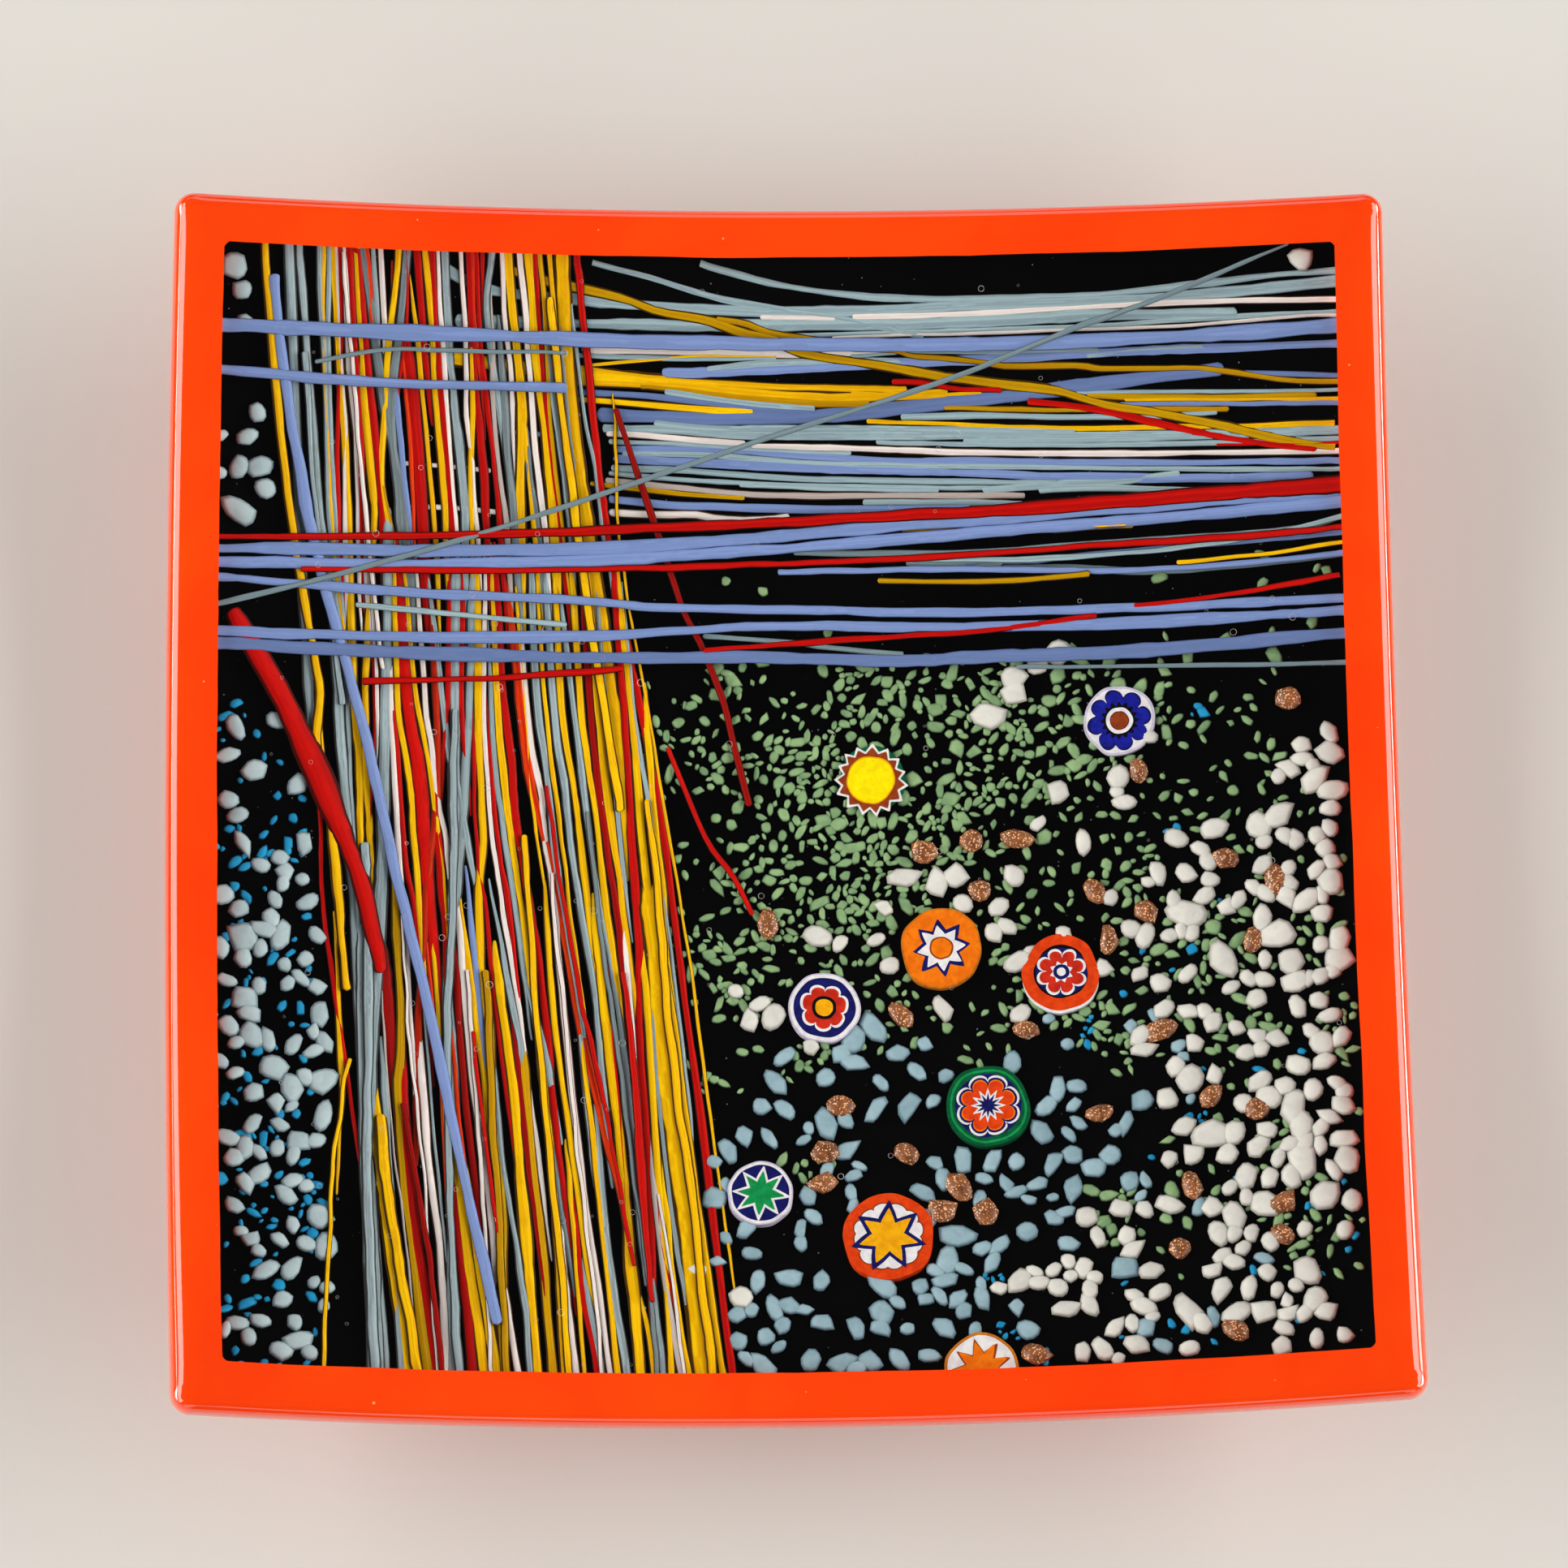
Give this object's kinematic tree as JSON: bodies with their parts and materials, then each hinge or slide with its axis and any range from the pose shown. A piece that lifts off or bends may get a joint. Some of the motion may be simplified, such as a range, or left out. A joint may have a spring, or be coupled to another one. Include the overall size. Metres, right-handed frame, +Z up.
{
  "type": "art glass bowl",
  "caption": "Square fused glass bowl slumped to a shallow dish, with a bright border strip frame round a black panel inlaid with stringers, frit and cane slices.",
  "frame": {"origin": "centre of the flat foot on the underside, on the surface the bowl stands on", "axes": "+Z up out of the open face, +Y towards the top border strip, +X towards the right border strip"},
  "size_m": [0.1982, 0.1982, 0.0408],
  "materials": {
    "orange_glass": "fused gloss",
    "black_glass": "fused gloss",
    "clear_glass": "clear gloss",
    "light_blue_glass": "fused gloss",
    "white_glass": "fused gloss",
    "periwinkle_glass": "fused gloss",
    "yellow_glass": "fused gloss",
    "red_glass": "fused gloss",
    "grey_blue_glass": "fused gloss",
    "ember_glass": "fused gloss",
    "blue_flower_cane": "fused gloss",
    "yellow_sun_cane": "fused gloss",
    "orange_star_cane": "fused gloss",
    "red_flower_cane": "fused gloss",
    "navy_flower_cane": "fused gloss",
    "green_ring_cane": "fused gloss",
    "green_star_cane": "fused gloss",
    "yellow_star_cane": "fused gloss",
    "amber_star_cane": "fused gloss",
    "white_frit": "fused gloss",
    "ice_frit": "fused gloss",
    "pale_frit": "fused gloss",
    "green_frit": "fused gloss",
    "turquoise_frit": "fused gloss",
    "copper_glass": "fused gloss"
  },
  "bodies": {
    "root": {"base_sheet": "orange_glass", "black_panel": "black_glass", "border_top": "orange_glass", "border_bottom": "orange_glass", "border_left": "orange_glass", "border_right": "orange_glass", "clear_cap": "clear_glass", "under_light": "light_blue_glass", "under_white": "white_glass", "under_periwinkle": "periwinkle_glass", "under_yellow": "yellow_glass", "under_red": "red_glass", "bundle_yellow": "yellow_glass", "bundle_red": "red_glass", "bundle_white": "white_glass", "bundle_grey": "grey_blue_glass", "bundle_orange": "ember_glass", "bundle_periwinkle": "periwinkle_glass", "crossing_yellow": "yellow_glass", "crossing_grey": "grey_blue_glass", "crossing_white": "white_glass", "crossing_red": "red_glass", "long_periwinkle": "periwinkle_glass", "red_rod": "red_glass", "loose_red": "red_glass", "yellow_thread": "yellow_glass", "over_periwinkle": "periwinkle_glass", "over_light": "light_blue_glass", "over_red": "red_glass", "over_yellow": "yellow_glass", "diagonal_stringer": "light_blue_glass", "slice_blue_flower": "blue_flower_cane", "slice_yellow_sun": "yellow_sun_cane", "slice_orange_star": "orange_star_cane", "slice_red_flower": "red_flower_cane", "slice_navy_flower": "navy_flower_cane", "slice_green_ring": "green_ring_cane", "slice_green_star": "green_star_cane", "slice_yellow_star": "yellow_star_cane", "slice_amber_star": "amber_star_cane", "frit_white": "white_frit", "frit_ice": "ice_frit", "frit_pale": "pale_frit", "frit_green": "green_frit", "frit_turquoise": "turquoise_frit", "frit_copper": "copper_glass"}
  },
  "joints": []
}
